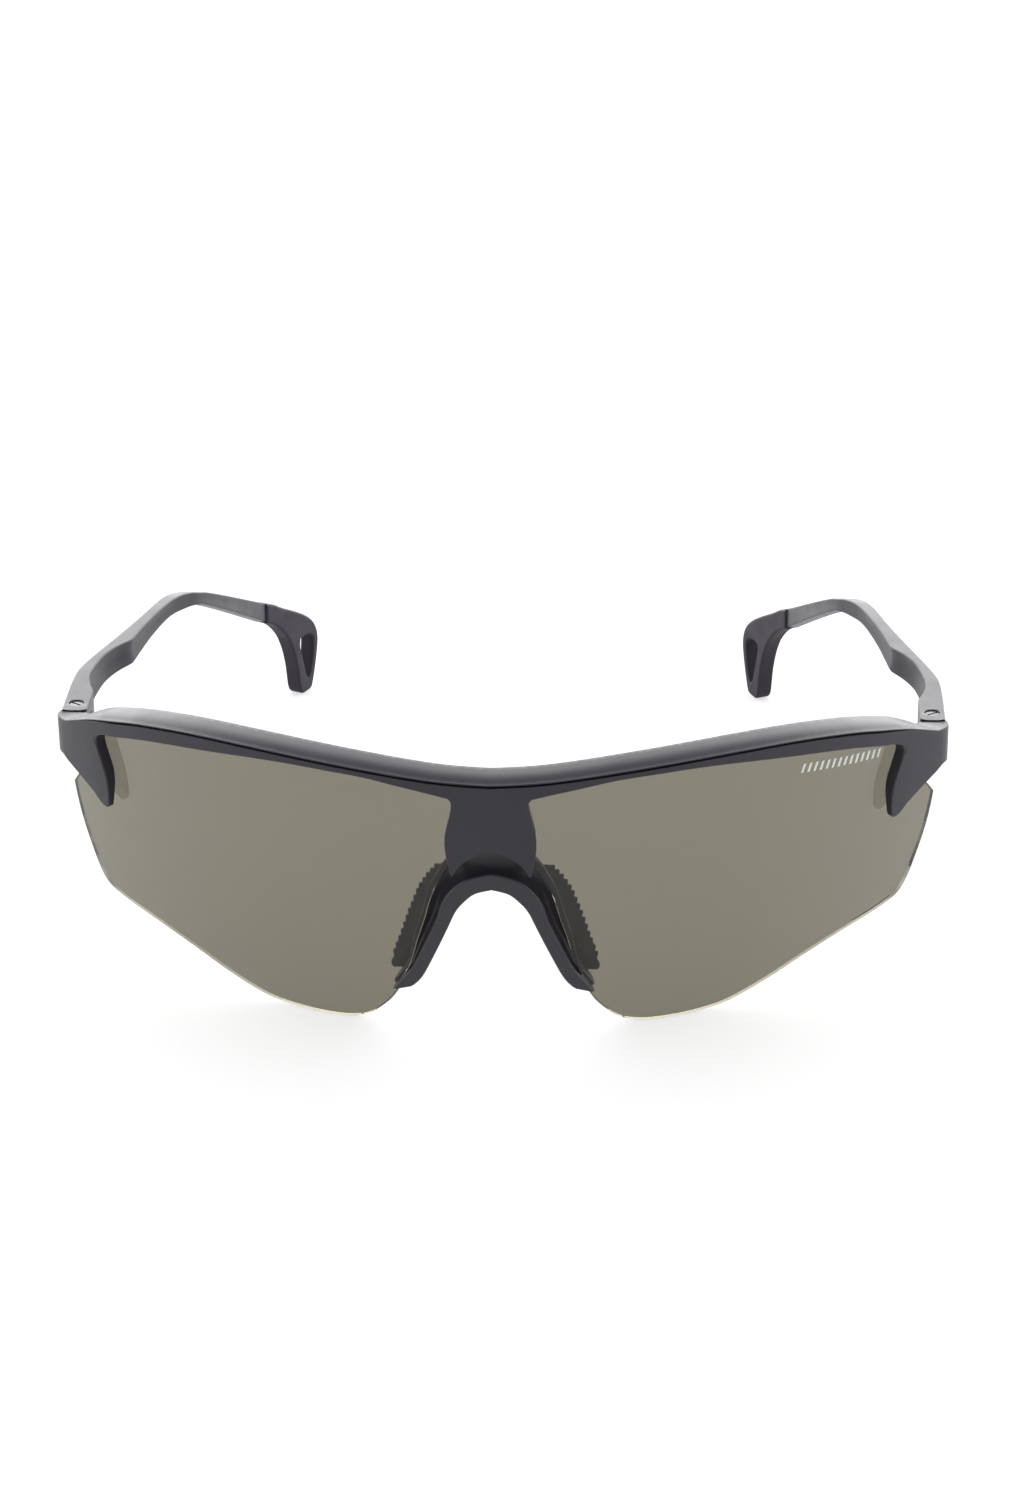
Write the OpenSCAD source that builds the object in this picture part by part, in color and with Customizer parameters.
// Wraparound sport sunglasses: one shield lens in a half frame, folding temples.
// Millimetres. X runs across the face, the front looks along -Y, Z is up.
// The folded-open glasses stand on the two lens lobes and the feet of the tips.

/* [Front] */
// Half the width of the frame over its claws
half_w = 73.2; // [66:0.2:80]
// Radius of the front face, seen from above, over the half width
wrap = 1.27; // [1.15:0.01:1.6]
// Lean of the front, top edge forward, degrees
tilt = 5.4; // [0:0.2:12]
// Depth of the brow bar, front to back
brow_depth = 4.6; // [4.2:0.1:7]
// Distance of the lens face behind the face of the frame
lens_set = 2.4; // [1.8:0.1:3]
// Height of the lens lobes below the pivot of the lean
lens_drop = 53.4; // [44:0.2:60]

/* [Lens] */
// Thickness of the lens
lens_t = 1.6; // [1.2:0.1:2.2]
// Play between the lens and its groove
lens_play = 0.1; // [0.04:0.01:0.2]

/* [Nose] */
// Depth of the nose carrier behind the lens
carrier_depth = 3.6; // [2.5:0.1:6]
// Width of the carrier band around the nose opening
carrier_band = 2.4; // [1.8:0.1:4]
// Length of a nose pad
pad_len = 19; // [14:0.5:24]
// Width of a nose pad
pad_w = 7.6; // [5:0.1:10]
// Thickness of a nose pad
pad_t = 2.2; // [1.6:0.1:3]
// Outward flare of the pads, degrees
pad_flare = 34; // [15:1:45]
// Number of grip ribs on a pad
pad_ribs = 14; // [8:1:20]
// Radius of one grip rib
rib_r = 0.58; // [0.4:0.02:0.9]

/* [Hinge] */
// Height of the hinge fork
fork_h = 7.2; // [6:0.1:9]
// Width of the hinge fork
fork_w = 4.1; // [3.4:0.1:5]
// Thickness of one prong of the fork
prong_t = 2.4; // [1.8:0.1:3]
// Play between the tongue and each prong
tongue_play = 0.08; // [0.05:0.01:0.2]
// Radius of the hinge screw shank
screw_r = 0.8; // [0.6:0.05:1.1]
// Radius of the hinge screw head
head_r = 1.15; // [1:0.05:1.5]
// Running clearance of the screw in the tongue, on the radius
screw_play = 0.04; // [0.02:0.01:0.1]
// Outer radius of the threaded insert
insert_r = 1.35; // [1.1:0.05:1.7]

/* [Temples] */
// Length of an arm from its hinge axis to the rubber joint
arm_len = 86.4; // [70:0.2:100]
// Toe-in of an arm from its hinge to the rubber joint
toe_in = 20; // [12:0.25:26]
// Height of the rubber joint above the table
joint_z = 21; // [18:0.25:26]
// Length of the tang inside the rubber tip
tang_len = 7; // [4:0.5:10]
// Thickness of the rubber tip
tip_t = 3; // [2.6:0.1:5]
// Inward turn of the rubber tip, degrees
tip_turn = 25; // [10:1:40]

/* [Hidden] */
free = 0.1;                         // small allowance between moulded pieces
ext = 90;                           // length of cutting shapes
face_stretch = half_w / 73.2;       // outlines below are drawn at this half width
face_r = wrap * half_w;
lobe_x = 26.4 * face_stretch;        // where the lens lobes touch the table
lens_r = face_r - lens_set;
lobe_back = face_r - sqrt(lens_r * lens_r - lobe_x * lobe_x);
pivot_z = lens_drop * cos(tilt) - lobe_back * sin(tilt);
lens_back = lens_set + lens_t;
// the hinge sits behind the end of the frame
hinge_x = half_w - 2.85;
end_back = face_r - sqrt(face_r * face_r - half_w * half_w);
hinge_y = end_back * cos(tilt) + 6.9;
hinge_top = pivot_z - 11.8;
joint_y = hinge_y + arm_len;
tip_reach = 17.8;                   // depth of a tip behind its joint
row_mid = (joint_y + tip_reach) / 2;  // middle of the whole depth behind the brow
fork_z0 = hinge_top - fork_h;
tongue_z0 = fork_z0 + prong_t + tongue_play;
tongue_h = fork_h - 2 * prong_t - 2 * tongue_play;
gap_back = 3.2;                     // fork face in front of the hinge axis
front = hinge_y - gap_back;
head_h = 0.9;
head_sink = 0.2;
slot_w = 0.35;
slot_d = 0.4;
arm_in = hinge_x - toe_in;          // outer side of the arm at the rubber joint
leg_lean = 25.7;                    // lean of the legs beside the nose

// ---- curves ------------------------------------------------------------
function spline(a, b, c, d, t) = 0.5 * (2 * b + (c - a) * t
    + (2 * a - 5 * b + 4 * c - d) * t * t + (3 * b - a - 3 * c + d) * t * t * t);
function smooth(p, n = 4) = concat(
    [for (i = [0:len(p) - 2]) for (k = [0:n - 1])
        spline(p[max(i - 1, 0)], p[i], p[i + 1], p[min(i + 2, len(p) - 1)], k / n)],
    [p[len(p) - 1]]);
function wide(p) = [for (q = p) [q[0] * face_stretch, q[1]]];
function moved(p, dx, dz) = [for (q = p) [q[0] + dx, q[1] + dz]];
function flipped(p) = [for (i = [len(p) - 1:-1:0]) [-p[i][0], p[i][1]]];
function both(p) = concat(p, flipped(p));
// a point (x, z) on the face as seen square to the face at angle a
function square_on(p, a) = [for (q = p) [face_r * sin(asin(q[0] / face_r) - a), q[1]]];

// ---- outlines of the front, right half, x outward and z down from the pivot ----
crease = wide([[0, -6.6], [7.5, -6.25], [14, -5.7], [20, -5.2], [26, -4.85], [32.5, -4.65],
    [38.5, -4.7], [45, -5.1], [51, -5.95], [57.3, -7.5], [62, -9.3], [66, -11.2], [72.6, -15]]);
brow_low = wide([[62.4, -12.5], [57.3, -10.6], [51.5, -9.1], [45, -7.9], [38.8, -7], [32.6, -6.5],
    [26.4, -6.5], [20, -6.8], [14, -7.8], [9.4, -8.7], [6.4, -9.4]]);
bridge_side = [[6.4, -9.4], [6.1, -10.6], [6.8, -13.6], [7.2, -16.2], [7.2, -18.8], [6.5, -23.5]];
bridge_arch = [[6.1, -23.5], [5.1, -21.7], [3.1, -19.9], [0, -18.8]];
claw = wide([[60.4, -11.6], [63.4, -12.9], [64.7, -13.9], [65, -15.2], [64.2, -17.8], [63.5, -20.2],
    [63.15, -22.6], [63.2, -25], [63.5, -26.6], [64.6, -26.4], [66.4, -25], [69, -23.4],
    [71.7, -22], [72.7, -20.9], [73.2, -18.9], [72.8, -15.9], [66, -12], [62, -10.4]]);
lens_top = wide([[0, -7.6], [14, -6.8], [26, -5.9], [38.5, -5.8], [51, -7.2], [59, -9.8],
    [64.5, -13.4], [67, -18], [68.4, -23], [70.1, -26.2], [70.9, -27.8]]);
lens_low = wide([[70.9, -27.8], [70.4, -30.8], [69.5, -34.5], [68.2, -38.2], [66.8, -41.6],
    [65.3, -43.6], [62.9, -44.5], [55.6, -46], [49.5, -47.9], [43.7, 3.1 - lens_drop],
    [37.6, 0.9 - lens_drop], [33, 0.2 - lens_drop], [28, -lens_drop], [23.5, 0.3 - lens_drop],
    [20, 1.5 - lens_drop], [16.8, 4.4 - lens_drop], [15.2, -46.2]]);
nose_edge = [[12.9, -45.7], [11.3, -43.5], [9.1, -38.8], [7.1, -34.2], [5.9, -31.4],
    [4.6, -29.6], [2.7, -27.9], [0, -27.1]];
// the nose opening grown outward by d, for the lens cut-out and the lip of the carrier
function nose_out(d) = [for (q = nose_edge) [q[0] + d * q[0] / (1.5 + q[0]), q[1] + d * (1 - q[0] / 15)]];
carrier_edge = [[12.9 + carrier_band, -45.9], [11.4 + carrier_band, -42], [9.6 + carrier_band, -37],
    [8 + carrier_band, -32], [6.6 + carrier_band, -27.5], [5.2 + carrier_band, -23],
    [5.2, -19.4], [2.8, -18], [0, -17.6]];

// ---- frames of reference -----------------------------------------------
module in_row() { translate([0, -row_mid, 0]) children(); }
module in_face() { translate([0, 0, pivot_z]) rotate([tilt, 0, 0]) children(); }
module sides(s) { if (s > 0) children(); else mirror([1, 0, 0]) children(); }
module plate(p, y0, y1) { translate([0, y1, 0]) rotate([90, 0, 0]) linear_extrude(y1 - y0) polygon(p); }
module shell(r_out, r_in) {
    translate([0, face_r, -ext]) difference() {
        cylinder(r = r_out, h = ext + 10, $fn = 240);
        translate([0, 0, -1]) cylinder(r = r_in, h = ext + 12, $fn = 240);
    }
}
module turned(a) { translate([0, face_r, 0]) rotate([0, 0, a]) translate([0, -face_r, 0]) children(); }

// ---- front -------------------------------------------------------------
claw_turn = asin(65 * face_stretch / face_r);
module round_bar(r) { translate([0, face_r, -ext]) cylinder(r = r, h = ext + 10, $fn = 240); }
module brow_bar() {
    outline = concat(smooth(crease), [[71.3 * face_stretch, -17], [64 * face_stretch, -14]],
        smooth(brow_low), [[6.4, -11]]);
    difference() {
        intersection() {
            shell(face_r, face_r - brow_depth);
            plate(both(outline), -5, 60);
        }
        lens_pocket();
    }
}
// the pieces in front of the lens: bridge and claws
module face_pieces() {
    middle = concat([[0, -7.6], [8, -7]], smooth(bridge_side), smooth(bridge_arch));
    intersection() {
        shell(face_r, lens_r + lens_play);
        union() {
            plate(both(middle), -5, 20);
            for (s = [1, -1])
                sides(s) turned(claw_turn) plate(smooth(square_on(claw, claw_turn), 3), -5, 14);
        }
    }
}
module end_block(s) {
    block_y = end_back - 4.7;
    sides(s) translate([hinge_x - fork_w / 2, block_y, fork_z0])
        cube([fork_w, front - block_y + 1, fork_h]);
}
module tongue(s) {
    sides(s) translate([hinge_x, hinge_y, tongue_z0]) difference() {
        union() {
            cylinder(r = fork_w / 2 - 0.05, h = tongue_h, $fn = 96);
            translate([-fork_w / 2 + 0.05, -gap_back - 1.5, 0]) cube([fork_w - 0.1, gap_back + 1.5, tongue_h]);
        }
        translate([0, 0, -1]) cylinder(r = screw_r + screw_play, h = tongue_h + 2, $fn = 64);
    }
}
module lens_pocket() {
    outline = concat(moved(smooth(lens_top), 0, free), [[71.2 * face_stretch, -60]]);
    intersection() {
        shell(lens_r + lens_play, lens_r - lens_t - lens_play);
        plate(both(outline), -5, 60);
    }
}
module frame_front() {
    color([0.2, 0.2, 0.22]) in_row() union() {
        intersection() {
            union() {
                in_face() union() {
                    brow_bar();
                    face_pieces();
                }
                intersection() {
                    in_face() round_bar(face_r);
                    union() {
                        end_block(1);
                        end_block(-1);
                    }
                }
            }
            // the ends stop square in front of the forks
            translate([-ext, -ext, -ext]) cube([2 * ext, ext + front - free, 2 * ext]);
        }
        tongue(1);
        tongue(-1);
    }
}

// ---- lens --------------------------------------------------------------
module lens() {
    cut = nose_out(1.9);
    outline = concat(smooth(lens_top), smooth(lens_low), [[cut[0][0], -46.2]], smooth(cut));
    color([0.4, 0.42, 0.3, 0.6]) in_row() in_face() intersection() {
        shell(lens_r, lens_r - lens_t);
        plate(both(outline), -5, 60);
    }
}

// ---- nose --------------------------------------------------------------
module nose_carrier() {
    rim = smooth(nose_edge, 5);
    outer = smooth(carrier_edge, 5);
    lip = smooth(nose_out(1.9 - free), 5);
    color([0.1, 0.1, 0.1]) in_row() in_face() union() {
        intersection() {
            shell(lens_r - lens_t - free, lens_r - lens_t - carrier_depth);
            plate(both_band(outer, rim), -5, 30);
        }
        intersection() {
            shell(lens_r - 0.2, lens_r - lens_t - 0.5);
            plate(both_band(lip, rim), -5, 30);
        }
        for (s = [1, -1]) on_leg(s) carrier_tab();
    }
}
// closed band between two half curves that run from the foot to the centre
function both_band(outer, inner) = concat(outer, [for (i = [len(outer) - 2:-1:0])
    [-outer[i][0], outer[i][1]]], [for (q = inner) [-q[0], q[1]]],
    [for (i = [len(inner) - 2:-1:0]) inner[i]]);
// along one leg: local z up the leg, x outward, y to the back
module on_leg(s) {
    sides(s) translate([10.6, lens_back + carrier_depth + leg_rise, -38]) rotate([0, -leg_lean, 0])
        rotate([0, 0, -pad_flare]) children();
}
leg_rise = 0.7;                     // back of the carrier beside the nose
tab_w = 3;
tab_t = 0.8;
tab_len = 12;
tab_out = 1.4;
pad_y = 1.25;
module carrier_tab() {
    translate([-tab_t / 2, -1.2, -tab_len / 2]) cube([tab_t, tab_out + 1.2, tab_len]);
}
pad_half = pad_len / 2;
function pad_edge(z) = pad_w - 1.3 * pow(z / pad_half, 2);
module nose_pad(s) {
    ribs_half = pad_half * 0.74;
    rear = [for (z = [-pad_half * 0.8:pad_half / 5:pad_half * 0.81]) [pad_edge(z), z]];
    outline = concat([[pad_y, pad_half - 2], [pad_y, 1 - pad_half], [2.6, 0.2 - pad_half],
        [4.6, -pad_half]], rear, [[4.6, pad_half - 0.2], [2.6, pad_half - 0.4]]);
    color([0.12, 0.12, 0.12]) in_row() in_face() on_leg(s) difference() {
        translate([-pad_t / 2, 0, 0]) rotate([90, 0, 90]) linear_extrude(pad_t) union() {
            polygon(outline);
            for (i = [0:pad_ribs - 1]) {
                z = ribs_half * (2 * i / (pad_ribs - 1) - 1);
                translate([pad_edge(z) - 0.3, z]) circle(r = rib_r, $fn = 24);
            }
        }
        translate([-tab_t / 2 - 0.03, 0, -tab_len / 2 - 0.03])
            cube([tab_t + 0.06, tab_out + tab_w + 0.05, tab_len + 0.06]);
    }
}
module nose_core(s) {
    color([0.7, 0.7, 0.72]) in_row() in_face() on_leg(s)
        translate([-tab_t / 2, tab_out + 0.02, -tab_len / 2]) cube([tab_t, tab_w, tab_len]);
}

// ---- temples -----------------------------------------------------------
fork_out = hinge_x + fork_w / 2;
fork_in = hinge_x - fork_w / 2;
// points of the arm: distance behind the hinge and distance in from its axis
function arm_pt(p) = [for (q = p) [hinge_x - q[1] * toe_in / 20, hinge_y + q[0] * arm_len / 86.4]];
arm_out = arm_pt([[13.6, -1.7], [19.6, -0.1], [28.1, 2.8], [37.6, 5.8], [45.6, 8], [50.6, 10],
    [56.1, 12.5], [65.6, 15.3], [86.4, 20]]);
arm_inner = arm_pt([[86.4, 22.2], [65.6, 17.5], [55.1, 14.6], [49.6, 12.2], [44.6, 10.1],
    [36.6, 7.8], [28.6, 5.7], [24.6, 4.2], [19.6, 1.8], [12.6, 0.6], [8.4, 1.1]]);
arm_plan_out = concat([[fork_out, hinge_y + 6.6]], arm_out);
arm_plan_in = concat(arm_inner, [[fork_in, hinge_y + 5.4]]);
function side_pt(d, z) = [hinge_y + d * arm_len / 86.4, z];
arm_side_top = [side_pt(3.6, hinge_top), side_pt(29.6, hinge_top - 0.1), side_pt(45.6, hinge_top - 0.4),
    side_pt(50.6, hinge_top - 1.1), side_pt(54.6, hinge_top - 2.6), side_pt(59.6, hinge_top - 4.8),
    side_pt(86.4, joint_z + 1.9)];
arm_side_low = [side_pt(86.4, joint_z - 1.8), side_pt(58.6, hinge_top - 6.9),
    side_pt(53.6, hinge_top - 4.6), side_pt(49.6, hinge_top - 3.7), side_pt(42.6, hinge_top - 3.2),
    side_pt(28.6, hinge_top - 4.4), side_pt(15.6, hinge_top - 5.5), side_pt(3.6, fork_z0)];
// rounded inner front corner of the fork, which swings past the end of the frame
corner_a = asin(fork_w / 2 / gap_back);
fork_corner = [for (a = [corner_a:-corner_a / 4:0.1])
    [hinge_x - gap_back * sin(a), hinge_y - gap_back * cos(a)]];
module arm_solid() {
    plan = concat([[fork_out, front]], smooth(arm_plan_out, 3), smooth(arm_plan_in, 3), fork_corner,
        [[hinge_x, front]]);
    side = concat([[front - 1, hinge_top]], smooth(arm_side_top, 3), smooth(arm_side_low, 3),
        [[front - 1, fork_z0]]);
    intersection() {
        linear_extrude(60) polygon(plan);
        translate([30, 0, 0]) rotate([90, 0, 90]) linear_extrude(60) polygon(side);
    }
}
module temple_arm(s) {
    slot_z = fork_z0 + prong_t;
    color([0.2, 0.2, 0.22]) in_row() sides(s) union() {
        difference() {
            arm_solid();
            // slot for the tongue
            translate([fork_in - 1, hinge_y - gap_back - 1, slot_z])
                cube([fork_w + 2, gap_back + 1 + fork_w / 2 + 0.5, fork_h - 2 * prong_t]);
            // screw, head and insert
            translate([hinge_x, hinge_y, hinge_top - prong_t - 1])
                cylinder(r = screw_r + 0.02, h = prong_t + 2, $fn = 64);
            translate([hinge_x, hinge_y, hinge_top - head_h - head_sink])
                cylinder(r = head_r + 0.1, h = 3, $fn = 64);
            translate([hinge_x, hinge_y, fork_z0 - 1])
                cylinder(r = insert_r, h = prong_t + 1.1 - 0.3, $fn = 64);
            translate([hinge_x, hinge_y, fork_z0])
                cylinder(r = screw_r + 0.02, h = prong_t + 0.1, $fn = 64);
        }
        tang();
    }
}
// flat tang that carries the rubber tip
tip_drop = 27;                      // slope of the arm at the joint
module at_joint() { translate([arm_in - 1.1, joint_y, joint_z]) rotate([0, 0, tip_turn]) children(); }
module tang() {
    at_joint() rotate([-tip_drop, 0, 0]) translate([-0.7, -0.8, -0.9]) cube([1.4, tang_len + 0.8, 1.8]);
}
core_r = 0.6;
core_len = 7;
module tip_core(s) {
    color([0.7, 0.7, 0.72]) in_row() sides(s) at_joint() rotate([-tip_drop, 0, 0])
        translate([0, tang_len + 0.05, 0]) rotate([-90, 0, 0]) cylinder(r = core_r, h = core_len, $fn = 32);
}
module temple_tip(s) {
    top = [[-1, 2.5], [6, -1], [12, -4.2], [15.5, -6.5], [17.3, -8.4], [18.2, -10.6], [18.1, -13],
        [17.2, -16.5], [16.2, -19.3], [15.1, -joint_z]];
    front_edge = [[12.4, -joint_z], [11.4, -20], [10.9, -17.5], [10.3, -14.5], [9.1, -10.8],
        [7.2, -7.4], [4.6, -4.7], [2.2, -3], [-1, -1.6]];
    window = [[11.9, -9.6], [14, -9.5], [16.2, -10.4], [16.5, -12.2], [15.8, -15.5], [14.7, -18],
        [13.9, -17.9], [12.8, -14.6], [11.6, -10.8], [11.9, -9.6]];
    color([0.1, 0.1, 0.11]) in_row() sides(s) difference() {
        at_joint() difference() {
            translate([-tip_t / 2, 0, 0]) rotate([90, 0, 90]) linear_extrude(tip_t) difference() {
                polygon(concat(smooth(top), smooth(front_edge)));
                polygon(smooth(window, 3));
            }
            rotate([-tip_drop, 0, 0]) translate([-0.72, -2, -0.92])
                cube([1.44, tang_len + 2.01, 1.84]);
            rotate([-tip_drop, 0, 0]) translate([0, tang_len - 1, 0]) rotate([-90, 0, 0])
                cylinder(r = core_r + 0.02, h = core_len + 1.1, $fn = 32);
        }
        // flush against the end of the arm
        translate([0, joint_y + 0.03 - ext, 0]) cube([ext, ext, ext]);
    }
}

// ---- hinge hardware ----------------------------------------------------
module hinge_screw(s) {
    top = hinge_top - head_sink;
    color([0.75, 0.75, 0.77]) in_row() sides(s) translate([hinge_x, hinge_y, 0]) difference() {
        union() {
            translate([0, 0, top - head_h]) cylinder(r = head_r, h = head_h, $fn = 64);
            translate([0, 0, fork_z0 + 0.3]) cylinder(r = screw_r, h = fork_h - 1, $fn = 64);
        }
        translate([0, 0, top]) rotate([0, 0, 35]) cube([4, slot_w, 2 * slot_d], center = true);
    }
}
module hinge_insert(s) {
    color([0.8, 0.65, 0.35]) in_row() sides(s) translate([hinge_x, hinge_y, fork_z0]) difference() {
        cylinder(r = insert_r - 0.02, h = prong_t - 0.35, $fn = 64);
        translate([0, 0, -1]) cylinder(r = screw_r + 0.01, h = prong_t + 2, $fn = 64);
    }
}

frame_front();
lens();
nose_carrier();
nose_pad(-1);  // nose_pad_left
nose_pad(1);  // nose_pad_right
nose_core(-1);  // nose_core_left
nose_core(1);  // nose_core_right
temple_arm(-1);  // temple_arm_left
temple_arm(1);  // temple_arm_right
temple_tip(-1);  // temple_tip_left
temple_tip(1);  // temple_tip_right
tip_core(-1);  // tip_core_left
tip_core(1);  // tip_core_right
hinge_screw(-1);  // hinge_screw_left
hinge_screw(1);  // hinge_screw_right
hinge_insert(-1);  // hinge_insert_left
hinge_insert(1);  // hinge_insert_right
